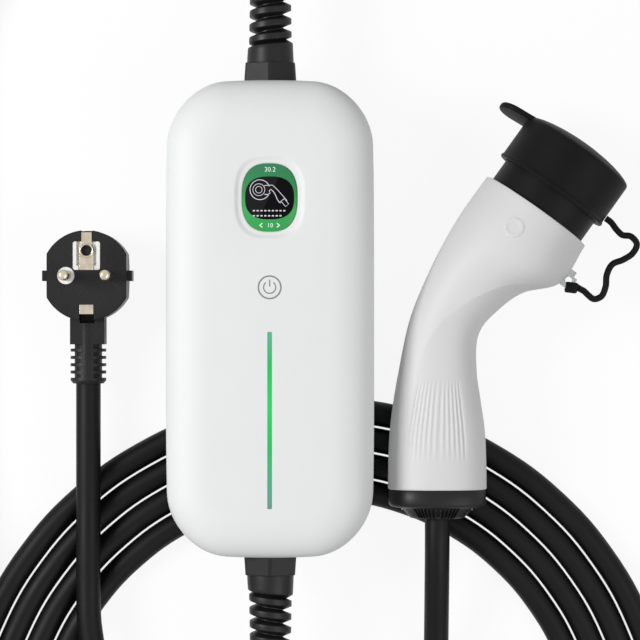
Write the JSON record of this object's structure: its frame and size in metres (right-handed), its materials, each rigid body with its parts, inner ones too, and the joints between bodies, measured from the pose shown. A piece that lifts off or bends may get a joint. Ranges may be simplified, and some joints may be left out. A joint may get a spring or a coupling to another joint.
{
  "type": "portable electric car charger",
  "caption": "Portable car charger: white control box with display and light bar, mains plug lead, coiled vehicle cable and a capped white connector handle.",
  "frame": {"origin": "middle of the control box", "axes": "+Z out of the box's face, +Y along the box to the end where the mains lead enters, +X to the right when looking at the face"},
  "size_m": [0.3541, 0.5813, 0.0596],
  "materials": {
    "white_shell": "fine satin moulded plastic",
    "white_handle": "satin moulded plastic",
    "black_plastic": "moulded nylon",
    "gland_nylon": "moulded nylon",
    "plug_rubber": "spark-eroded moulded surface",
    "cap_rubber": "matt moulded rubber",
    "seal_rubber": "matt",
    "cable_rubber": "extruded sheath, low sheen",
    "green_band": "glossy printed band behind clear cover",
    "display_glass": "glossy black cover",
    "green_light": "diffusing light guide",
    "grey_mark": "printed ring",
    "circuit_green": "solder mask",
    "terminal_green": "moulded",
    "component_black": "moulded",
    "component_blue": "dipped",
    "copper_pad": "bare",
    "zinc_steel": "zinc plated",
    "nickel_brass": "nickel-plated, warm",
    "silver_brass": "silver-plated",
    "white_insert": "moulded",
    "clear_lug": "milky clear",
    "wire_sheath": "extruded"
  },
  "bodies": {
    "root": {"front_cover": "white_shell", "back_cover": "white_shell", "cover_seal": "seal_rubber", "display_ring": "green_band", "display_window": "display_glass", "display_module": "circuit_green", "light_bar": "green_light", "led_board": "circuit_green", "touch_mark": "grey_mark", "touch_sensor": "copper_pad", "circuit_board": "circuit_green", "power_relays": "component_black", "current_sensor": "component_blue", "power_module": "component_black", "capacitors": "component_black", "terminal_blocks": "terminal_green", "board_screws": "zinc_steel", "cover_screws": "zinc_steel", "upper_gland": "gland_nylon", "lower_gland": "gland_nylon", "upper_locknut": "gland_nylon", "lower_locknut": "gland_nylon", "supply_wires": "wire_sheath", "vehicle_wires": "wire_sheath", "plug_body": "plug_rubber", "plug_pin_left": "nickel_brass", "plug_pin_right": "nickel_brass", "pin_washer": "white_insert", "earth_insert": "white_insert", "earth_clip": "nickel_brass", "lower_earth_clip": "nickel_brass", "handle_shell": "white_handle", "connector_sleeve": "black_plastic", "contact_carrier": "black_plastic", "power_contacts": "silver_brass", "signal_contacts": "silver_brass", "dust_cap": "cap_rubber", "cap_strap": "cap_rubber", "strap_lug": "clear_lug", "handle_boot": "black_plastic", "boot_screws": "zinc_steel", "supply_lead": "cable_rubber", "vehicle_lead_in": "cable_rubber", "vehicle_coil": "cable_rubber", "vehicle_lead_out": "cable_rubber"}
  },
  "joints": []
}
